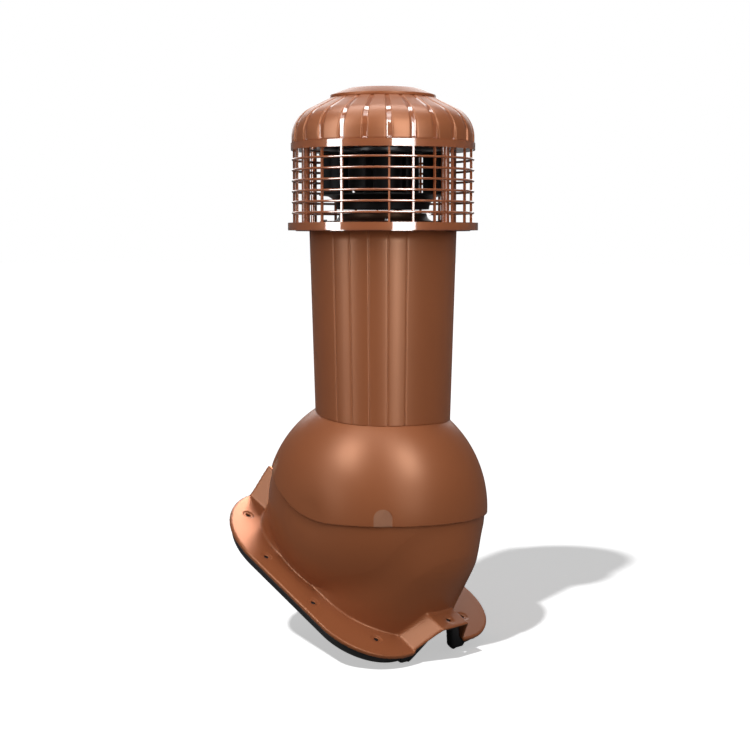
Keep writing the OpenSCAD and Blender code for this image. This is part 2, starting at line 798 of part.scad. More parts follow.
module motor_screws() {
    in_head() color(steel) motor_screw_places() {
        translate([0, 0, plate_low - 3.5]) cylinder(r = 1.7, h = 3.5 + plate_t, $fn = 32);
        translate([0, 0, box_z]) cylinder(r = 3.5, h = 2.6, $fn = 32);
    }
}

module stator_core() {
    in_head() color([0.45, 0.45, 0.47]) translate([0, 0, core_low]) tube(core_r, tube_r + shaft_clear, core_h);
}

module stator_windings() {
    coil_h = 6.5;
    in_head() color([0.72, 0.38, 0.18]) for (z = [core_low - coil_h, core_low + core_h])
        translate([0, 0, z]) tube(core_r - 3, tube_r + 2, coil_h);
}

module motor_bearings() {
    in_head() color(steel) for (z = [bearing_low, bearing_high])
        translate([0, 0, z]) tube(bearing_r, shaft_r + shaft_clear, bearing_h);
}

module terminal_box() {
    wall = 2;
    in_head() color(black) translate([0, box_y, box_z]) difference() {
        translate([-box_w / 2, -box_d / 2, 0]) cube([box_w, box_d, box_h]);
        translate([-box_w / 2 + wall, -box_d / 2 + wall, wall]) cube([box_w - 2 * wall, box_d - 2 * wall, box_h]);
    }
}

module terminal_lid() {
    in_head() color(black) translate([0, box_y, box_z + box_h]) difference() {
        union() {
            translate([-box_w / 2 - 0.5, -box_d / 2 - 0.5, 0]) cube([box_w + 1, box_d + 1, 2]);
            cylinder(r = 7, h = 8, $fn = 6);
        }
        translate([0, 0, -1]) cylinder(r = cable_d / 2 + slip, h = 12, $fn = 48);
    }
}

module run_capacitor() {
    can_h = 58;
    in_head() color([0.86, 0.86, 0.84]) translate([-can_h / 2, can_y, can_z]) rotate([0, 90, 0]) {
        cylinder(r = can_r, h = can_h);
        translate([0, 0, can_h]) cylinder(r = 9, h = 5);
    }
}

// Sheet strap over the capacitor, with a foot on each side
module capacitor_clip() {
    strap_w = 14;
    strap_t = 1.5;
    foot = 12;
    in_head() color(steel) translate([-strap_w / 2, can_y, 0]) difference() {
        union() {
            translate([0, 0, can_z]) rotate([0, 90, 0]) cylinder(r = can_r + 0.1 + strap_t, h = strap_w);
            translate([0, -can_r - foot, box_z]) cube([strap_w, 2 * (can_r + foot), 1.8]);
        }
        translate([-1, 0, can_z]) rotate([0, 90, 0]) cylinder(r = can_r + 0.1, h = strap_w + 2);
        translate([-1, -big / 2, box_z - big]) cube([strap_w + 2, big, big]);
    }
}

// Outline of the hood in [radius, height], brought in by wall
module hood_profile(wall) {
    r = shoulder_r - wall;
    crown_r = shoulder_c + r * sin(crown_slope);
    crown_z = shoulder_z + r * cos(crown_slope);
    apex_z = crown_z + crown_r * tan(crown_slope);
    union() {
        polygon([
            [0, ring_top - 20], [hood_r - wall, ring_top - 20], [hood_r - wall, shoulder_z],
            [shoulder_c, shoulder_z], [crown_r, crown_z], [0, apex_z]
        ]);
        intersection() {
            translate([shoulder_c, shoulder_z]) circle(r = r, $fn = 180);
            translate([shoulder_c, shoulder_z]) square([big, big]);
            polygon([[shoulder_c, shoulder_z], [big, shoulder_z],
                [shoulder_c + big * sin(crown_slope), shoulder_z + big * cos(crown_slope)]]);
        }
    }
}

module hood_band(outer, inner, low, high_r) {
    intersection() {
        difference() {
            hood_profile(outer);
            hood_profile(inner);
        }
        translate([high_r, low]) square([big, big]);
    }
}

module hood() {
    neck = cap_r - 9;
    lip_out = plate_r;
    lip_wall = 2.2;
    ledge_h = 2;
    boss_y = 78.5;
    boss_r = 8.5;
    boss_low = crown_z0 - 12;
    in_head() color(copper) difference() {
        union() {
            rotate_extrude() hood_band(0, hood_wall, ring_top, neck);
            translate([0, 0, box_z + seat_gap]) tube(lip_out, lip_out - lip_wall, ring_top + ledge_h - box_z - seat_gap);
            translate([0, 0, ring_top]) tube(hood_r - 1, lip_out - lip_wall, ledge_h);
            // Blister over the conduit's upper end
            difference() {
                translate([0, 0, boss_low]) union() {
                    translate([0, boss_y, 0]) cylinder(r = boss_r, h = crown_top_z - boss_low);
                    translate([-boss_r, neck + 2, 0]) cube([2 * boss_r, boss_y - neck - 2, crown_top_z - boss_low]);
                }
                rotate_extrude() hood_profile(hood_wall - eps);
            }
        }
        for (a = [0 : 15 : 359]) rotate([0, 0, a - 90 - groove_angle / 2])
            rotate_extrude(angle = groove_angle) hood_band(-2, groove_depth, ring_top + 1, cap_r - 4);
        translate([0, neck, conduit_top - fan_h]) rotate([-90, 0, 0])
            cylinder(r = conduit_r + conduit_clear, h = 60);
    }
}

// Dish with a rim that follows the hood's crown and a spigot that stands in the hood's neck
module cap_lid() {
    wall = 2.5;
    spigot_r = cap_r - 9 - seat_gap;
    inner_r = cap_r - wall;
    top_z = cap_rim_h + cap_rise;
    draft = (cap_rise - wall) / (cap_r - cap_top_r);
    in_head() color(copper) translate([0, 0, cap_z]) rotate_extrude() polygon([
        [cap_r, 0], [cap_r, cap_rim_h], [cap_top_r, top_z], [13.5, top_z], [13.5, top_z + 1.2], [0, top_z + 1.2],
        [0, top_z - wall], [cap_top_r - wall, top_z - wall],
        [spigot_r - 2, cap_rim_h + (inner_r - spigot_r + 2) * draft], [spigot_r - 2, -4], [spigot_r, -4],
        [spigot_r, cap_rim_h + (inner_r - spigot_r) * draft], [inner_r, cap_rim_h],
        [inner_r, wall * tan(crown_slope)]
    ]);
}

module motor_shaft() {
    in_head() color(steel) translate([0, 0, bell_low]) cylinder(r = shaft_r, h = plate_low - bell_low - 1);
}

module rotor_bell() {
    top = wheel_top;
    flange_r = bell_r + 8;
    hub_h = 4;
    in_head() color(black) difference() {
        union() {
            translate([0, 0, bell_low]) cylinder(r = bell_r, h = top - bell_low);
            translate([0, 0, top - 2]) cylinder(r = flange_r, h = 2);
            translate([0, 0, bell_low - hub_h]) cylinder(r1 = bell_r - 12, r2 = bell_r - 6, h = hub_h);
        }
        translate([0, 0, bell_low]) cylinder(r = shaft_r + shaft_clear, h = top);
        translate([0, 0, bell_low + bell_wall]) cylinder(r = bell_r - bell_wall, h = top);
        rivet_places() translate([0, 0, top - 4]) cylinder(r = rivet_r + 0.1, h = 6, $fn = 32);
    }
}

module rotor_ring() {
    in_head() color([0.45, 0.45, 0.47]) translate([0, 0, core_low - 2])
        tube(bell_r - bell_wall, core_r + air_gap, core_h + 4);
}

module rivet_places() {
    for (a = [0 : 60 : 300]) rotate([0, 0, a]) translate([bell_r + 4.5, 0, 0]) children();
}

module impeller_rivets() {
    in_head() color(steel) rivet_places() {
        translate([0, 0, wheel_top - 3.4]) cylinder(r = 3, h = 1.4, $fn = 32);
        translate([0, 0, wheel_top - 2]) cylinder(r = rivet_r, h = 2 + back_t, $fn = 32);
        translate([0, 0, wheel_top + back_t]) cylinder(r = 3, h = 1.2, $fn = 32);
    }
}

module impeller_ring() {
    ring_c = [neck_r + inlet_round, inlet_z];
    in_head() color(black) rotate_extrude() {
        intersection() {
            translate(ring_c) difference() {
                circle(r = inlet_round + inlet_t);
                circle(r = inlet_round);
            }
            translate([0, inlet_z]) square([ring_c[0], big]);
        }
        translate([ring_c[0], inlet_z + inlet_round]) square([wheel_r - ring_c[0], inlet_t]);
    }
}

module blade_plan() {
    inner = bell_r + 9.5;
    outer = wheel_r - 4.5;
    blade_t = 2;
    centre = [inner + 6, -blade_curve + 8];
    intersection() {
        difference() {
            translate(centre) circle(r = blade_curve + blade_t / 2, $fn = 180);
            translate(centre) circle(r = blade_curve - blade_t / 2, $fn = 180);
        }
        difference() {
            circle(r = outer);
            circle(r = inner);
        }
        translate([0, -outer]) square([outer, 2 * outer]);
        translate([inner - 14, -14]) square([outer, 60]);
    }
}

module impeller_wheel() {
    ring_c = [neck_r + inlet_round, inlet_z];
    room_r = inlet_round + inlet_t + 0.15;
    blade_low = inlet_z + 2;
    in_head() color(black) difference() {
        union() {
            translate([0, 0, wheel_top]) tube(wheel_r, bell_r - 4, back_t);
            for (i = [0 : blade_count - 1]) rotate([0, 0, i * 360 / blade_count])
                translate([0, 0, blade_low]) linear_extrude(wheel_top - blade_low + back_t / 2) blade_plan();
        }
        // Room for the inlet ring under the blades
        rotate_extrude() polygon(concat(
            [[ring_c[0] - room_r, inlet_z - 1]], arc(ring_c, room_r, 180, 90, 18),
            [[wheel_r + 1, inlet_z + room_r], [wheel_r + 1, inlet_z - 1]]));
        rivet_places() translate([0, 0, wheel_top - 1]) cylinder(r = rivet_r + 0.1, h = back_t + 2, $fn = 32);
    }
}

base_shell();
roof_seal();
rib_seals();
ball_cover();
outer_pipe();
insulation_sleeve();
inner_duct();
offset_adapter();
duct_spigot();
fan_base();
inlet_nozzle();
nozzle_screws();
grille_cage();
posts();
post_screws();
top_ring();
motor_plate();
motor_flange();
motor_screws();
stator_core();
stator_windings();
motor_bearings();
terminal_box();
terminal_lid();
run_capacitor();
capacitor_clip();
hood();
cap_lid();
cable_conduit();
motor_cable();
conduit_grommet();
motor_shaft();
rotor_bell();
rotor_ring();
impeller_wheel();
impeller_ring();
impeller_rivets();
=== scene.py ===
import json
import math

import bmesh
import bpy
import numpy as np
from mathutils import Matrix, Vector


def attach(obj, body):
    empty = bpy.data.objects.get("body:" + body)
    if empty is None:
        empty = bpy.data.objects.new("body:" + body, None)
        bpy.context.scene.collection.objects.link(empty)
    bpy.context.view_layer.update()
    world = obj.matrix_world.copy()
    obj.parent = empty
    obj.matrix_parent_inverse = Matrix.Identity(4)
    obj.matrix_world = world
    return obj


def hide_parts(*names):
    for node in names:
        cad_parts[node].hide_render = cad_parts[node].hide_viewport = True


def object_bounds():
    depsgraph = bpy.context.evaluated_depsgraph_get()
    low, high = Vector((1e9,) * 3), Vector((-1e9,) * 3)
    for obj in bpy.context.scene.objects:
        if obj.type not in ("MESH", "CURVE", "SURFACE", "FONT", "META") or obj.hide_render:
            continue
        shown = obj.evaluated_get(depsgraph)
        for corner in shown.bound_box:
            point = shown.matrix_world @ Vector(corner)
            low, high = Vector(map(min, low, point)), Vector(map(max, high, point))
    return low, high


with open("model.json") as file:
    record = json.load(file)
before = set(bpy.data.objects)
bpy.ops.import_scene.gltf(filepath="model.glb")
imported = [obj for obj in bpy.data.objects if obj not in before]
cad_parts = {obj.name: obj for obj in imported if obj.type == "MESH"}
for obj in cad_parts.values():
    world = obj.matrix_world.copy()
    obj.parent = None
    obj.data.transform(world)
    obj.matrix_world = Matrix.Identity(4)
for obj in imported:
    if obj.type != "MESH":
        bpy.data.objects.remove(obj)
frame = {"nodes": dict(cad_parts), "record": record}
nodes = frame["nodes"]
cad_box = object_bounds()
scene = bpy.context.scene

# Studio: a white sweep under two tall soft strips left and right of the camera, an overhead panel
# and a fill from behind. More panels are only mirrored: by the glossy grille, rings and grooves, by
# the satin ball, and by the pipe. The sun falls on the floor alone, where it draws the shadow.
# The camera looks from the base's lower left corner, nearly level, as in the picture's left view.
view_azimuth = math.radians(-48.5)
view_height = math.radians(4.5)
view_distance = 2.226
aim = Vector((0.004, -0.052, 0.268))
panel_aim = aim + Vector((0, 0, 0.1))


def seen_from(azimuth, height, distance):
    level = Vector((-math.sin(azimuth), math.cos(azimuth), 0.0))
    return aim - level * math.cos(height) * distance + Vector((0, 0, math.sin(height) * distance))


def placed(name, data, stand, target):
    """A camera or a lamp on its stand, turned to its target."""
    thing = bpy.data.objects.new(name, data)
    scene.collection.objects.link(thing)
    thing.location = stand
    thing.rotation_euler = (target - thing.location).to_track_quat("-Z", "Y").to_euler()
    return thing


lens = bpy.data.cameras.new("studio_camera")
lens.lens = 82
lens.clip_end = 40
camera_stand = seen_from(view_azimuth, view_height, view_distance)
scene.camera = placed("studio_camera", lens, camera_stand, aim)
scene.view_settings.view_transform = "Standard"


def panel_light(name, turn, height, distance, size, power, shines=False):
    """A soft panel, turned so many degrees from the camera and raised so many from level.
    One that shines is only mirrored and shades nothing."""
    lamp = bpy.data.lights.new(name, "AREA")
    lamp.shape = "RECTANGLE"
    lamp.size, lamp.size_y = size
    lamp.energy = power
    stand = seen_from(view_azimuth + math.radians(turn), math.radians(height), distance)
    thing = placed(name, lamp, stand, panel_aim)
    thing.visible_diffuse = not shines
    return thing


strips = [
    panel_light("strip_left", -59, 34, 1.85, (0.66, 3.0), 20),
    panel_light("strip_right", 25, 34, 1.85, (0.98, 3.0), 28),
    panel_light("overhead", -20, 74, 2.0, (1.3, 0.7), 9),
    panel_light("back_fill", 180, 30, 2.2, (2.2, 1.4), 26),
]
mirrored = [
    panel_light("shine_left", -60, 20, 1.75, (0.62, 2.2), 52, shines=True),
    panel_light("shine_right", 24, 20, 1.75, (0.82, 2.2), 69, shines=True),
    panel_light("shine_top", 180, 80, 1.9, (1.9, 0.5), 34, shines=True),
]
blobs = [
    panel_light("blob_left", -50, 42, 1.6, (0.5, 0.8), 21, shines=True),
    panel_light("blob_right", 33, 42, 1.6, (0.5, 0.8), 21, shines=True),
]
pipe_panels = [
    panel_light("pipe_left", -57, 4, 1.7, (0.3, 1.5), 11, shines=True),
    panel_light("pipe_right", 20, 4, 1.7, (0.3, 1.5), 24, shines=True),
]
sun = bpy.data.lights.new("key", "SUN")
sun.energy = 2.6
sun.angle = math.radians(2.0)
sun_stand = seen_from(view_azimuth + math.radians(-26), math.radians(44), 3)
key = placed("key", sun, sun_stand, aim)


class Field:
    """A socket's value in a shader, on which plain arithmetic adds Math nodes."""

    def __init__(self, tree, socket):
        self.tree = tree
        self.socket = socket

    def add(self, kind, settings=None, inputs=None, out=0):
        made = self.tree.nodes.new(kind)
        for setting, value in (settings or {}).items():
            setattr(made, setting, value)
        for socket, value in (inputs or {}).items():
            if isinstance(value, Field):
                self.tree.links.new(value.socket, made.inputs[socket])
            else:
                made.inputs[socket].default_value = value
        return Field(self.tree, made.outputs[out])

    def math(self, operation, *values):
        return self.add("ShaderNodeMath", {"operation": operation}, dict(enumerate(values)))

    def __add__(self, other):
        return self.math("ADD", self, other)

    def __radd__(self, other):
        return self.math("ADD", other, self)

    def __sub__(self, other):
        return self.math("SUBTRACT", self, other)

    def __rsub__(self, other):
        return self.math("SUBTRACT", other, self)

    def __mul__(self, other):
        return self.math("MULTIPLY", self, other)

    def __rmul__(self, other):
        return self.math("MULTIPLY", other, self)

    def at_least(self, other):
        return self.math("MAXIMUM", self, other)

    def at_most(self, other):
        return self.math("MINIMUM", self, other)

    def above(self, other):
        return self.math("GREATER_THAN", self, other)

    def root(self):
        return self.math("SQRT", self)

    def mix(self, colour_a, colour_b):
        return self.add(
            "ShaderNodeMix", {"data_type": "RGBA"}, {0: self, 6: colour_a, 7: colour_b}, out=2
        )


def new_material(name):
    """A material with a Principled shader, and a Field to start its node maths from."""
    material = bpy.data.materials.new(name)
    material.use_nodes = True
    tree = material.node_tree
    return material, tree.nodes["Principled BSDF"], Field(tree, None)


def feed(field, socket):
    field.tree.links.new(field.socket, socket)


def grey(level):
    return (level, level, level, 1)


floor_drop, floor_reach = 0.0005, 30
sweep, shader, field = new_material("white_sweep")
paper = field.add("ShaderNodeTexNoise", None, {"Scale": 60.0, "Detail": 4.0})
camera_ray = field.add("ShaderNodeLightPath")
feed(camera_ray.mix(grey(0.22), grey(0.97)), shader.inputs["Base Color"])
feed(0.85 + paper * 0.1, shader.inputs["Roughness"])
shader.inputs["Specular IOR Level"].default_value = 0.0
feed(camera_ray.mix(grey(0), grey(1)), shader.inputs["Emission Color"])
shader.inputs["Emission Strength"].default_value = 0.48
corners = [(-1, -1), (1, -1), (1, 1), (-1, 1)]
floor_z = cad_box[0][2] - floor_drop
floor_mesh = bpy.data.meshes.new("floor")
floor_mesh.from_pydata(
    [(x * floor_reach, y * floor_reach, floor_z) for x, y in corners], [], [(0, 1, 2, 3)]
)
floor = bpy.data.objects.new("floor", floor_mesh)
scene.collection.objects.link(floor)
floor.data.materials.append(sweep)


def lit_pieces(name, *things):
    """A list of what a lamp lights; with nothing but things left out, it lights all the rest."""
    group = bpy.data.collections.new(name)
    for thing in things:
        group.objects.link(thing)
    return group


def leave_out(group, thing):
    group.objects.link(thing)
    group.collection_objects[-1].light_linking.link_state = "EXCLUDE"


key.light_linking.receiver_collection = lit_pieces("lit_by_key", floor)
glossy_nodes = ("grille_cage", "top_ring", "fan_base", "cable_conduit")
glossy_pieces = lit_pieces("glossy_pieces", *(nodes[name] for name in glossy_nodes))
pipe_only = lit_pieces("pipe_only")
not_floor = lit_pieces("not_floor")
satin_pieces = lit_pieces("satin_pieces")
leave_out(not_floor, floor)
leave_out(satin_pieces, floor)
for panels, group in (
    (strips, not_floor), (mirrored, glossy_pieces), (blobs, satin_pieces), (pipe_panels, pipe_only)
):
    for panel in panels:
        panel.light_linking.receiver_collection = group

world = bpy.data.worlds.new("studio_world")
scene.world = world
world.use_nodes = True
background = world.node_tree.nodes["Background"]
camera_ray = Field(world.node_tree, None).add("ShaderNodeLightPath")
feed(camera_ray.mix(grey(0.1), grey(1)), background.inputs["Color"])
background.inputs["Strength"].default_value = 1.0


# Roof base: one piece moulded in copper-brown polypropylene, with a flat pan for the roof sheet,
# a channel over the sheet's rib, and the drape that rises into the lower half of the ball joint.
# Mould radii soften every inner corner.
def link(thing, body, material, *stands_for):
    scene.collection.objects.link(thing)
    thing.data.materials.clear()
    thing.data.materials.append(material)
    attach(thing, body)
    if stands_for:
        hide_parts(*stands_for)
    return thing


def plastic(
    name, colour, deep, roughness, grain,
    coat=0.0, coat_roughness=0.3, mirror=0.5, cast=(1.0, 0.6, 0.4),
):
    """Moulded plastic: slow tint drift, fine moulded grain and faint flow marks. Mirror says how
    strongly the plastic itself reflects, and cast in what colour."""
    material, shader, field = new_material(name)
    place = field.add("ShaderNodeTexCoord", out=3)
    drift = field.add("ShaderNodeTexNoise", None, {"Vector": place, "Scale": 7.0, "Detail": 3.0})
    speck = field.add("ShaderNodeTexNoise", None, {"Vector": place, "Scale": 900.0, "Detail": 2.0})
    tint = (drift - 0.5) * 0.9 + 0.35 + (speck - 0.5) * 0.25
    feed(tint.mix((*colour, 1), (*deep, 1)), shader.inputs["Base Color"])
    feed(roughness + (speck - 0.5) * 0.1 + (drift - 0.5) * 0.08, shader.inputs["Roughness"])
    shader.inputs["Specular IOR Level"].default_value = mirror
    shader.inputs["Specular Tint"].default_value = (*cast, 1)
    shader.inputs["Coat Weight"].default_value = coat
    shader.inputs["Coat Roughness"].default_value = coat_roughness
    shader.inputs["Coat IOR"].default_value = 1.8
    bump = field.add(
        "ShaderNodeBump", None, {"Height": speck + drift * 2.0, "Strength": 0.12, "Distance": grain}
    )
    feed(bump, shader.inputs["Normal"])
    return material


def srgb(*channels):
    """A screen colour, each channel from 0 to 255, as the linear values a shader takes."""
    return tuple(
        ((c / 255 + 0.055) / 1.055) ** 2.4 if c > 10 else c / 255 / 12.92 for c in channels
    )


satin_copper = plastic("satin_copper", srgb(150, 88, 55), srgb(138, 78, 47), 0.38, grain=0.00012)
gloss_copper = plastic(
    "gloss_copper", srgb(158, 90, 55), srgb(144, 80, 47), 0.32, grain=0.00003,
    coat=0.9, coat_roughness=0.06, mirror=0.2,
)
ball_centre = Vector((0, -0.057, 0.098727))
ball_core = 0.021
inner_ball_r = 0.1255
pitch = math.radians(30)


def off_ball(points, round_r):
    """How far each point stands off the ball's skin, and the ball's outward direction there."""
    local = points - np.array(ball_centre)
    ring = np.hypot(local[:, 1], local[:, 2]) + 1e-9
    past_core = np.maximum(ring - ball_core, 0)
    reach = np.hypot(local[:, 0], past_core) + 1e-9
    lean = past_core / reach / ring
    outward = np.stack([local[:, 0] / reach, local[:, 1] * lean, local[:, 2] * lean], axis=1)
    return reach - round_r, outward


def settle_on_ball(points, round_r):
    """Brings points that stand just off the ball's skin on to it, and says how far they stood."""
    held, freed = 0.0004, 0.0008
    off, outward = off_ball(points, round_r)
    share = np.clip((freed - np.abs(off)) / (freed - held), 0, 1)
    points -= outward * (off * share)[:, None]
    return off, outward


def over_roof(points):
    """How far up the slope and how far over the roof sheet each point lies."""
    up_slope = points[:, 1] * math.cos(pitch) + points[:, 2] * math.sin(pitch)
    return up_slope, points[:, 2] * math.cos(pitch) - points[:, 1] * math.sin(pitch)


def raise_off_roof(points, lift):
    points[:, 1] -= lift * math.sin(pitch)
    points[:, 2] += lift * math.cos(pitch)


def on_roof(x, up_slope, over):
    """A point of the base's own frame: across, up the slope and square to the roof sheet."""
    cos, sin = math.cos(pitch), math.sin(pitch)
    return (x, up_slope * cos - over * sin, up_slope * sin + over * cos)


def softened(mesh, points, seeds, reach, passes, allowed):
    """Relaxes the skin around the seeds only, which turns a sharp inner crease into a wide
    radius. Reach is in edges, and allowed holds the skin still where it is zero."""
    gain, pull = 1.6, 0.7
    pairs = np.empty(len(mesh.edges) * 2, dtype=np.int64)
    mesh.edges.foreach_get("vertices", pairs)
    here = np.concatenate([pairs[0::2], pairs[1::2]])
    there = np.concatenate([pairs[1::2], pairs[0::2]])
    share = seeds.astype(float)
    for _ in range(reach):
        wider = share.copy()
        np.maximum.at(wider, here, share[there] - 1 / reach)
        share = wider
    share = np.clip(share * gain, 0, 1) * allowed
    near = share[here] > 0
    here, there = here[near], there[near]
    degree = np.maximum(np.bincount(here, minlength=len(points)), 1)
    for _ in range(passes):
        for axis in range(3):
            total = np.bincount(here, weights=points[there, axis], minlength=len(points))
            points[:, axis] += share * pull * (total / degree - points[:, axis])


def per_vertex(mesh, what):
    """One row of three numbers for each vertex, its place (co) or its normal."""
    values = np.empty(len(mesh.vertices) * 3)
    mesh.vertices.foreach_get(what, values)
    return values.reshape(-1, 3)


def move_vertices(mesh, points):
    mesh.vertices.foreach_set("co", points.ravel())
    mesh.update()


def moulded(node, name, voxel, smoothing):
    """The node's own form with moulded radii: its skin rebuilt in small even faces, relaxed."""
    mesh = nodes[node].data.copy()
    mesh.name = name
    thing = bpy.data.objects.new(name, mesh)
    scene.collection.objects.link(thing)
    remesh = thing.modifiers.new("even", "REMESH")
    remesh.mode = "VOXEL"
    remesh.voxel_size = voxel
    relax = thing.modifiers.new("relax", "SMOOTH")
    relax.factor = 0.5
    relax.iterations = smoothing
    depsgraph = bpy.context.evaluated_depsgraph_get()
    even = bpy.data.meshes.new_from_object(thing.evaluated_get(depsgraph))
    bpy.data.objects.remove(thing)
    even.shade_smooth()
    return bpy.data.objects.new(name, even)


roof_base = moulded("base_shell", "roof_base_skin", 0.0013, 8)
points = per_vertex(roof_base.data, "co")
off, outward = settle_on_ball(points, inner_ball_r)
facing = (per_vertex(roof_base.data, "normal") * outward).sum(axis=1)
_, over = over_roof(points)

# The crease where the drape leaves the ball, clear of the rib's channel and of the flange.
channel_half, channel_top = 0.048, 0.085
flange_clear, flange_blend = 0.030, 0.012
beside_channel = (np.abs(points[:, 0]) > channel_half) | (over > channel_top)
crease = (off > 0.0008) & (off < 0.0028) & (facing > 0.3)
crease &= (over > flange_clear + flange_blend / 2) & beside_channel
clear_of_flange = np.clip((over - flange_clear) / flange_blend, 0, 1)
softened(roof_base.data, points, crease, reach=22, passes=260, allowed=clear_of_flange)

# The round dimples for the screws on the flange, each sunk about its hole.
flange_top = 0.022
hole_r, dimple_r, dimple_edge, dimple_depth, rim_r = 0.0034, 0.0076, 0.0007, 0.0009, 0.0090
screw_places = ((0.086, -0.142), (0.123, -0.058), (0.123, 0.038), (0.085, 0.121))
up_slope, over = over_roof(points)
near_top = (over > flange_top - 0.0024) & (over < flange_top + 0.0006)
for x, y in screw_places:
    reach = np.hypot(np.abs(points[:, 0]) - x, up_slope - y)
    sunk = np.clip((dimple_r - reach) / dimple_edge, 0, 1) * dimple_depth
    around = near_top & (reach > hole_r) & (reach < rim_r)
    raise_off_roof(points, np.where(around, flange_top - sunk - over, 0))
move_vertices(roof_base.data, points)
link(roof_base, "roof_base", satin_copper, "base_shell")

# A small lamp behind the base, whose sheen shows on the upper end of the left flange only.
sheen_spot = Vector(on_roof(-0.100, 0.118, flange_top))
sheen_lamp = bpy.data.lights.new("flange_sheen", "AREA")
sheen_lamp.size = 0.12
sheen_lamp.energy = 1.5
sheen_lamp.color = (1, 0.5, 0.32)
sheen_stand = sheen_spot + Vector((0.749, 0.264, 0.613)) * 0.4
sheen = placed("flange_sheen", sheen_lamp, sheen_stand, sheen_spot)
sheen.visible_diffuse = False
sheen.light_linking.receiver_collection = lit_pieces("lit_by_sheen", roof_base)

# Seal: soft black EPDM rubber, pressed on under the pan's edge. A round bead with a flat lip runs
# along each side, and a profiled block fills the roof rib's hollow at the front and the rear.
rubber, shader, field = new_material("seal_rubber")
place = field.add("ShaderNodeTexCoord", out=3)
pores = field.add("ShaderNodeTexNoise", None, {"Vector": place, "Scale": 1400.0, "Detail": 3.0})
feed(pores.mix((0.012, 0.012, 0.013, 1), (0.022, 0.022, 0.023, 1)), shader.inputs["Base Color"])
feed(0.4 + pores * 0.2, shader.inputs["Roughness"])
bump = field.add("ShaderNodeBump", None, {"Height": pores, "Strength": 0.3, "Distance": 0.0002})
feed(bump, shader.inputs["Normal"])
pan_half, pan_front, pan_rear = 0.145, 0.180, 0.162
front_r, rear_r, rib_end = 0.080, 0.115, 0.0645


def pan_edge(side):
    """Half the pan's outline from the front rib seal to the rear one, with its outward way."""
    straight = pan_half - front_r - rib_end
    path = [((rib_end + t * straight, -pan_front), (0, -1)) for t in np.linspace(0, 1, 4)]
    corner_arcs = ((-90, 0, front_r, front_r - pan_front), (0, 90, rear_r, pan_rear - rear_r))
    for low, high, r, y in corner_arcs:
        for a in np.radians(np.linspace(low, high, 40)):
            dx, dy = math.cos(a), math.sin(a)
            path.append(((max(pan_half - r + r * dx, rib_end), y + r * dy), (dx, dy)))
    return [((side * x, y), (side * dx, dy)) for (x, y), (dx, dy) in path]


def grid_piece(name, rows):
    """Rows of points, all of one length, joined by quads and closed round each row."""
    count = len(rows[0])
    faces = []
    for i in range(len(rows) - 1):
        for j in range(count):
            k = (j + 1) % count
            faces.append((i * count + j, i * count + k, (i + 1) * count + k, (i + 1) * count + j))
    mesh = bpy.data.meshes.new(name)
    mesh.from_pydata([point for row in rows for point in row], [], faces)
    mesh.update()
    mesh.shade_smooth()
    return bpy.data.objects.new(name, mesh)


# The bead's section: how far inside the pan's edge and how far over the sheet.
bead_inset, bead_over, bead_half, bead_deep = 0.0160, 0.0108, 0.0098, 0.0096
lip_top, lip_low, lip_end = 0.0187, 0.0172, 0.0430
half_round = np.linspace(0, math.pi, 25)
bead = [(bead_inset - bead_half, lip_top)]
bead += [
    (bead_inset - bead_half * math.cos(a), bead_over - bead_deep * math.sin(a)) for a in half_round
]
bead += [(bead_inset + bead_half, lip_low), (lip_end, lip_low), (lip_end, lip_top)]
for side, name in ((-1, "seal_strip_left"), (1, "seal_strip_right")):
    rows = [
        [on_roof(x - dx * inset, y - dy * inset, over) for inset, over in bead]
        for (x, y), (dx, dy) in pan_edge(side)
    ]
    strip = grid_piece(name, rows)
    edit = bmesh.new()
    edit.from_mesh(strip.data)
    bmesh.ops.holes_fill(edit, edges=edit.edges, sides=0)
    bmesh.ops.recalc_face_normals(edit, faces=edit.faces)
    edit.to_mesh(strip.data)
    edit.free()
    link(strip, "roof_base", rubber, *(["roof_seal"] if side < 0 else []))

rib_foot, rib_side = 0.0042, 0.046
rib_seal = moulded("rib_seals", "rib_seal_blocks", 0.0014, 60)
points = per_vertex(rib_seal.data, "co")
_, over = over_roof(points)
too_low = (over < rib_foot) & (np.abs(points[:, 0]) > rib_side)
raise_off_roof(points, np.where(too_low, rib_foot - over, 0))
move_vertices(rib_seal.data, points)
link(rib_seal, "roof_base", rubber, "rib_seals")

# Ball cover: the moulded upper shell of the joint, with a slanted lower edge and four arched
# pockets with flat floors, made rougher and painted lighter and greyer as a painted reflection of
# the right light strip; it carries the outer pipe on its collar.
cover_r, pocket_half, pocket_depth = 0.129, 0.0115, 0.0012
pocket_edge, skin_band, behind = 0.001, 0.0016, 0.002
pocket_places = ((-45, 0, 0.0156), (45, 0, 0.0156), (-135, 31, 0.0136), (135, 31, 0.0136))
cover = moulded("ball_cover", "ball_cover_skin", 0.0012, 6)
points = per_vertex(cover.data, "co")
settle_on_ball(points, cover_r)
off, _ = off_ball(points, cover_r)
local = points - np.array(ball_centre)
pockets = []
for turn, tilt, top in pocket_places:
    lean = Matrix.Rotation(math.radians(tilt), 3, "X") @ Matrix.Rotation(math.radians(turn), 3, "Z")
    across, up, out = (lean @ Vector(way) for way in ((1, 0, 0), (0, 0, 1), (0, -1, 0)))
    pockets.append((across, up, out, top))
    pocket_floor = ball_core * abs(math.cos(math.radians(turn))) + cover_r - pocket_depth
    over_top = np.maximum(local @ np.array(up) - (top - pocket_half), 0)
    inside = pocket_half - np.hypot(local @ np.array(across), over_top)
    depth = local @ np.array(out) - pocket_floor
    share = np.clip(inside / pocket_edge + 0.5, 0, 1)
    share *= (np.abs(off) < skin_band) & (depth > -behind)
    points -= np.array(out) * (np.maximum(depth, 0) * share)[:, None]
move_vertices(cover.data, points)

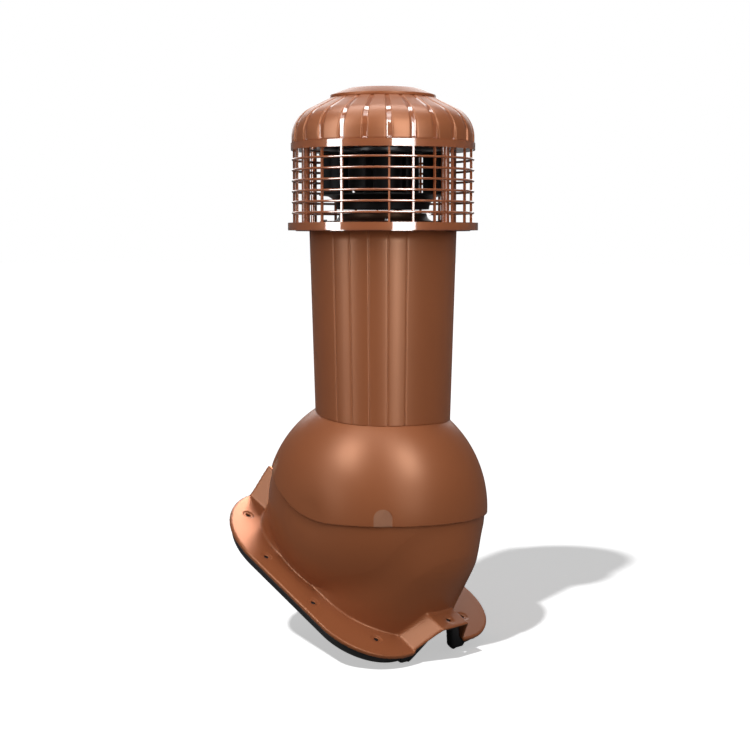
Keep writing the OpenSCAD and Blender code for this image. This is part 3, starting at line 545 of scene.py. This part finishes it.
cover_skin = satin_copper.copy()
cover_skin.name = "cover_skin"
field = Field(cover_skin.node_tree, None)
place = field.add("ShaderNodeTexCoord", out=3)
local = field.add("ShaderNodeVectorMath", {"operation": "SUBTRACT"}, {0: place, 1: ball_centre})


def along(way):
    dot = {"operation": "DOT_PRODUCT"}
    return field.add("ShaderNodeVectorMath", dot, {0: local, 1: way}, out=1)


# Painted reflection: the pocket floors are painted lighter and greyer for a light strip's
# reflection.
pocket_sheen_and_matt = None
edge_sharpness = 2500.0
for across, up, out, top in pockets:
    side = along(across)
    over_top = (along(up) - (top - pocket_half)).at_least(0.0)
    spread = (side * side + over_top * over_top).root()
    mask = ((pocket_half - spread) * edge_sharpness + 0.5).at_most(1.0) * along(out).above(0.1)
    pocket_sheen_and_matt = mask if pocket_sheen_and_matt is None else pocket_sheen_and_matt.at_least(mask)
pocket_sheen_and_matt = pocket_sheen_and_matt.at_least(0.0)
shader = cover_skin.node_tree.nodes["Principled BSDF"]
plain = Field(cover_skin.node_tree, shader.inputs["Base Color"].links[0].from_socket)
feed(pocket_sheen_and_matt.mix(plain, (*srgb(150, 104, 80), 1)), shader.inputs["Base Color"])
plain = Field(cover_skin.node_tree, shader.inputs["Roughness"].links[0].from_socket)
feed(plain + pocket_sheen_and_matt * 0.25, shader.inputs["Roughness"])
link(cover, "chimney", cover_skin, "ball_cover")

# Chimney pipe: extruded and pleated copper-brown plastic, slightly narrower below, where it is
# cut to the ball's round and pushed over the cover's collar.
axis_y = -0.0692
axis_ahead = 0.0122
pipe_top = 0.357
head_z = ball_centre.z + pipe_top
pipe_top_r, pipe_foot_r, pipe_length, pipe_wall = 0.0946, 0.0874, 0.237, 0.0024
pipe_taper = (pipe_top_r - pipe_foot_r) / pipe_length
cut_r, cut_gap, lip_round = 0.0870, 0.0008, 0.0003
pleats = [30, 45, 60, 75, 90, 150, 165, 180, 195, 210, 270, 285, 300, 315, 330]
crease_depth, crease_half, rise = 0.00055, 0.42, 0.00035
beside_pleat, clear_of_pleat = [0, 0.16, 0.3, 0.5, 0.9, 1.6], 2.6
angles = []
for low, high in zip(pleats, pleats[1:] + [pleats[0] + 360]):
    count = max(4, int((high - low) / 2))
    between = np.linspace(clear_of_pleat, high - low - clear_of_pleat, count)
    angles += [low + step for step in beside_pleat] + [low + step for step in between]
    angles += [high - step for step in reversed(beside_pleat[1:])]


def ball_height(x, y):
    """Height of the cover's skin over the ball's centre, at a place in the ball's own plan."""
    ring = ball_core + math.sqrt(max(cover_r**2 - x**2, 0))
    return math.sqrt(max(ring**2 - y**2, 0))


def pipe_dent(angle):
    """How far the skin lies inside the plain cone: a sharp crease at each pleat, and a slight
    rise between two of them."""
    before = min((angle - pleat) % 360 for pleat in pleats)
    after = min((pleat - angle) % 360 for pleat in pleats)
    width = before + after
    crease = crease_depth * math.exp(-((min(before, after) / crease_half) ** 2))
    if width < 1e-6:
        return crease
    return crease + rise * (2 * before / width - 1) ** 2 * min(1, 20 / max(width, 1))


outer, inner = [], []
for level in [0, 0.002, 0.006, 0.015, *np.linspace(0.05, 1, 16)]:
    row_out, row_in = [], []
    for angle in angles:
        dx, dy = math.sin(math.radians(angle)), -math.cos(math.radians(angle))
        foot = ball_height(cut_r * dx, cut_r * dy - axis_ahead) + cut_gap
        height = foot + (pipe_top - foot) * level
        plain_r = pipe_top_r - (pipe_top - height) * pipe_taper
        for row, r in ((row_out, plain_r - pipe_dent(angle)), (row_in, plain_r - pipe_wall)):
            row.append((r * dx, axis_y + r * dy, ball_centre.z + height))
    outer.append(row_out)
    inner.append(row_in)
drop = Vector((0, 0, lip_round))
lip = [tuple((Vector(o) + Vector(i)) * 0.5 - drop) for o, i in zip(outer[0], inner[0])]
pipe = grid_piece("chimney_pipe", [*reversed(inner), lip, *outer, inner[-1]])
link(pipe, "chimney", satin_copper, "outer_pipe")
pipe_only.objects.link(pipe)

# Hood: injection-moulded dome of the same plastic, with a groove every fifteen degrees whose floor
# is glossier, and a blister at the rear for the conduit's upper end. It stands on the top ring.
ring_top = head_z + 0.1109
hood_r, shoulder_r, skirt, neck_r, hood_wall = 0.117, 0.0396, 0.008, 0.0588, 0.0026
slope = math.radians(26.5)
groove_r, groove_depth, groove_half, groove_flank = 0.1146, 0.0009, 2.25, 0.7
groove_pitch, groove_floor = 15, 1.6
lid_edge_r, groove_end_r, groove_full_r = 0.0645, 0.0625, 0.0665


def eased(x, low, high):
    t = min(max((x - low) / (high - low), 0), 1)
    return t * t * (3 - 2 * t)


def off_groove(angle):
    """Degrees from the middle of the nearest groove."""
    return abs((angle + groove_pitch / 2) % groove_pitch - groove_pitch / 2)


rim = 0.0004
profile = [(hood_r - rim, 0), *((hood_r, z) for z in (rim, 0.003, 0.006, skirt))]
shoulder_in = hood_r - shoulder_r
for a in np.linspace(0, math.pi / 2 - slope, 25)[1:]:
    profile.append((shoulder_in + shoulder_r * math.cos(a), skirt + shoulder_r * math.sin(a)))
crown_r, crown_z = profile[-1]
for r in np.linspace(crown_r, neck_r, 9)[1:]:
    profile.append((r, crown_z + (crown_r - r) * math.tan(slope)))
steps = [0.8, 1.5, 1.7, 1.9, 2.15, 2.4, 3.5, 5.5]
steps = [-groove_pitch / 2, *(-step for step in reversed(steps)), 0, *steps]
columns = [groove_pitch * k + step for k in range(360 // groove_pitch) for step in steps]
outer, inner = [], []
for i, (r, z) in enumerate(profile):
    before, after = profile[max(i - 1, 0)], profile[min(i + 1, len(profile) - 1)]
    run = Vector((after[0] - before[0], after[1] - before[1])).normalized()
    outward = Vector((run.y, -run.x))
    in_r, in_z = r - outward.x * hood_wall, max(z - outward.y * hood_wall, 0)
    row_out, row_in = [], []
    for angle in columns:
        dx, dy = math.sin(math.radians(angle)), -math.cos(math.radians(angle))
        off = off_groove(angle)
        depth = groove_depth * eased(groove_half, off, off + groove_flank)
        depth *= eased(r, groove_end_r, groove_full_r)
        out_r, out_z = r - outward.x * depth, z - outward.y * depth
        if z < 0.03 and r > groove_r:
            out_r = min(out_r, r + (groove_r - r) * depth / groove_depth)
        row_out.append((out_r * dx, axis_y + out_r * dy, ring_top + out_z))
        row_in.append((in_r * dx, axis_y + in_r * dy, ring_top + in_z))
    outer.append(row_out)
    inner.append(row_in)
hood = grid_piece("hood_dome", [*reversed(inner), *outer, inner[-1]])
link(hood, "chimney", satin_copper, "hood")
hood.data.materials.append(gloss_copper)
glossy_pieces.objects.link(hood)
leave_out(satin_pieces, hood)
for face in hood.data.polygons:
    x, y = face.center.x, face.center.y - axis_y
    turn = math.degrees(math.atan2(x, -y))
    polished = off_groove(turn) < groove_floor and math.hypot(x, y) > lid_edge_r
    face.material_index = int(polished)

blister_half, blister_in, blister_out = 0.0085, 0.061, 0.0785
blister_low, blister_high, blister_round = 0.152, 0.1678, 0.0014
outline = [(-blister_half, blister_in), (-blister_half, blister_out)]
outline += [
    (-blister_half * math.cos(a), blister_out + blister_half * math.sin(a))
    for a in np.linspace(0, math.pi, 17)[1:-1]
]
outline += [(blister_half, blister_out), (blister_half, blister_in)]
edit = bmesh.new()
low_ring = [edit.verts.new((x, axis_y + y, head_z + blister_low)) for x, y in outline]
high_ring = [edit.verts.new((x, axis_y + y, head_z + blister_high)) for x, y in outline]
for i in range(len(outline)):
    j = (i + 1) % len(outline)
    edit.faces.new((low_ring[j], low_ring[i], high_ring[i], high_ring[j]))
top = edit.faces.new(high_ring)
edit.faces.new(list(reversed(low_ring)))
bmesh.ops.recalc_face_normals(edit, faces=edit.faces)
bmesh.ops.bevel(
    edit, geom=list(top.edges), offset=blister_round, segments=4, affect="EDGES", profile=0.5
)
mesh = bpy.data.meshes.new("hood_blister")
edit.to_mesh(mesh)
edit.free()
mesh.shade_smooth()
blister = bpy.data.objects.new("hood_blister", mesh)
link(blister, "chimney", satin_copper)


# Cap lid: a shallow moulded dish of the same plastic, with a flat top and a small raised round in
# its middle; its rim lies on the hood's crown.
def turned(name, section):
    """A closed disc turned about the chimney's axis from its section."""
    turns = np.linspace(0, 2 * math.pi, 192, endpoint=False)
    thing = grid_piece(name, [
        [(r * math.sin(t), axis_y - r * math.cos(t), z) for t in turns] for r, z in section
    ])
    edit = bmesh.new()
    edit.from_mesh(thing.data)
    bmesh.ops.remove_doubles(edit, verts=edit.verts, dist=1e-7)
    bmesh.ops.recalc_face_normals(edit, faces=edit.faces)
    edit.to_mesh(thing.data)
    edit.free()
    thing.data.shade_smooth()
    return thing


def filleted(corners, radius, steps=4):
    """Section with every corner rounded; a corner is (r, z) or (r, z, its own radius)."""
    section = []
    for i, corner in enumerate(corners):
        here = Vector(corner[:2])
        size = corner[2] if len(corner) > 2 else radius
        before = Vector(corners[i - 1][:2]) - here
        after = Vector(corners[(i + 1) % len(corners)][:2]) - here
        if size <= 0:
            section.append(tuple(here))
            continue
        reach = min(size, before.length * 0.45, after.length * 0.45)
        start, end = here + before.normalized() * reach, here + after.normalized() * reach
        for t in np.linspace(0, 1, steps + 1):
            section.append(tuple(start * (1 - t) ** 2 + here * 2 * t * (1 - t) + end * t**2))
    return section


lid_r, lid_gap, lid_round = 0.0676, 0.0003, 0.0005
lid_z = ring_top + crown_z + (crown_r - lid_r) * math.tan(slope) + lid_gap
lid_corners = [
    (0.0, 0.0132, 0), (0.0135, 0.0132), (0.0137, 0.012), (0.0444, 0.012, 0.002),
    (lid_r, 0.0033), (lid_r, 0.0), (0.0651, 0.0), (0.0651, 0.002), (0.042, 0.0095),
    (0.0, 0.0095, 0),
]
section = filleted([(r, lid_z + z, *own) for r, z, *own in lid_corners], lid_round)
lid = turned("cap_lid_dish", section)
link(lid, "chimney", satin_copper, "cap_lid")

# Everything else keeps its CAD form. The grille, rings and conduit are moulded in a glossier copper
# brown; the inlet nozzle's brown plastic is painted very dark, a painted shade of the head's
# inside;
# the impeller and the motor's case are black, and the plate, shaft and screws are bare metal,
# painted darker than bare galvanised steel as a painted shade of the head's inside too.
# Painted shade: the nozzle's very dark brown stands in for the shade inside the head.
dark_plastic = plastic(
    "dark_plastic", srgb(38, 20, 13), srgb(30, 16, 11), 0.45, grain=0.00008,
    coat_roughness=0.25, mirror=0.2,
)
black_gloss = plastic(
    "black_gloss", (0.004, 0.004, 0.004), (0.007, 0.007, 0.008), 0.45, grain=0.00005,
    coat_roughness=0.12, mirror=0.12, cast=(1, 1, 1),
)
# Painted shade: the steel is darker than bare galvanised steel, for the shade inside the head.
steel, shader, field = new_material("shaded_sheet_steel")
place = field.add("ShaderNodeTexCoord", out=3)
grain = field.add("ShaderNodeTexNoise", None, {"Vector": place, "Scale": 220.0, "Detail": 4.0})
feed(grain.mix((0.20, 0.20, 0.21, 1), (0.32, 0.32, 0.33, 1)), shader.inputs["Base Color"])
feed(0.28 + grain * 0.22, shader.inputs["Roughness"])
shader.inputs["Metallic"].default_value = 1.0
finish_of = {
    "copper_plastic": gloss_copper,
    "dark_plastic": dark_plastic,
    "black_plastic": black_gloss,
    "black_paint": black_gloss,
    "black_rubber": rubber,
    "cable_sheath": rubber,
    "galvanised_steel": steel,
    "stainless_steel": steel,
    "electrical_steel": steel,
    "cast_aluminium": steel,
}
for entry in frame["record"]["subparts"]:
    thing = nodes[entry["node"]]
    thing.data.materials.clear()
    thing.data.materials.append(finish_of.get(entry["material_slot"], dark_plastic))
    for polygon in thing.data.polygons:
        polygon.material_index = 0
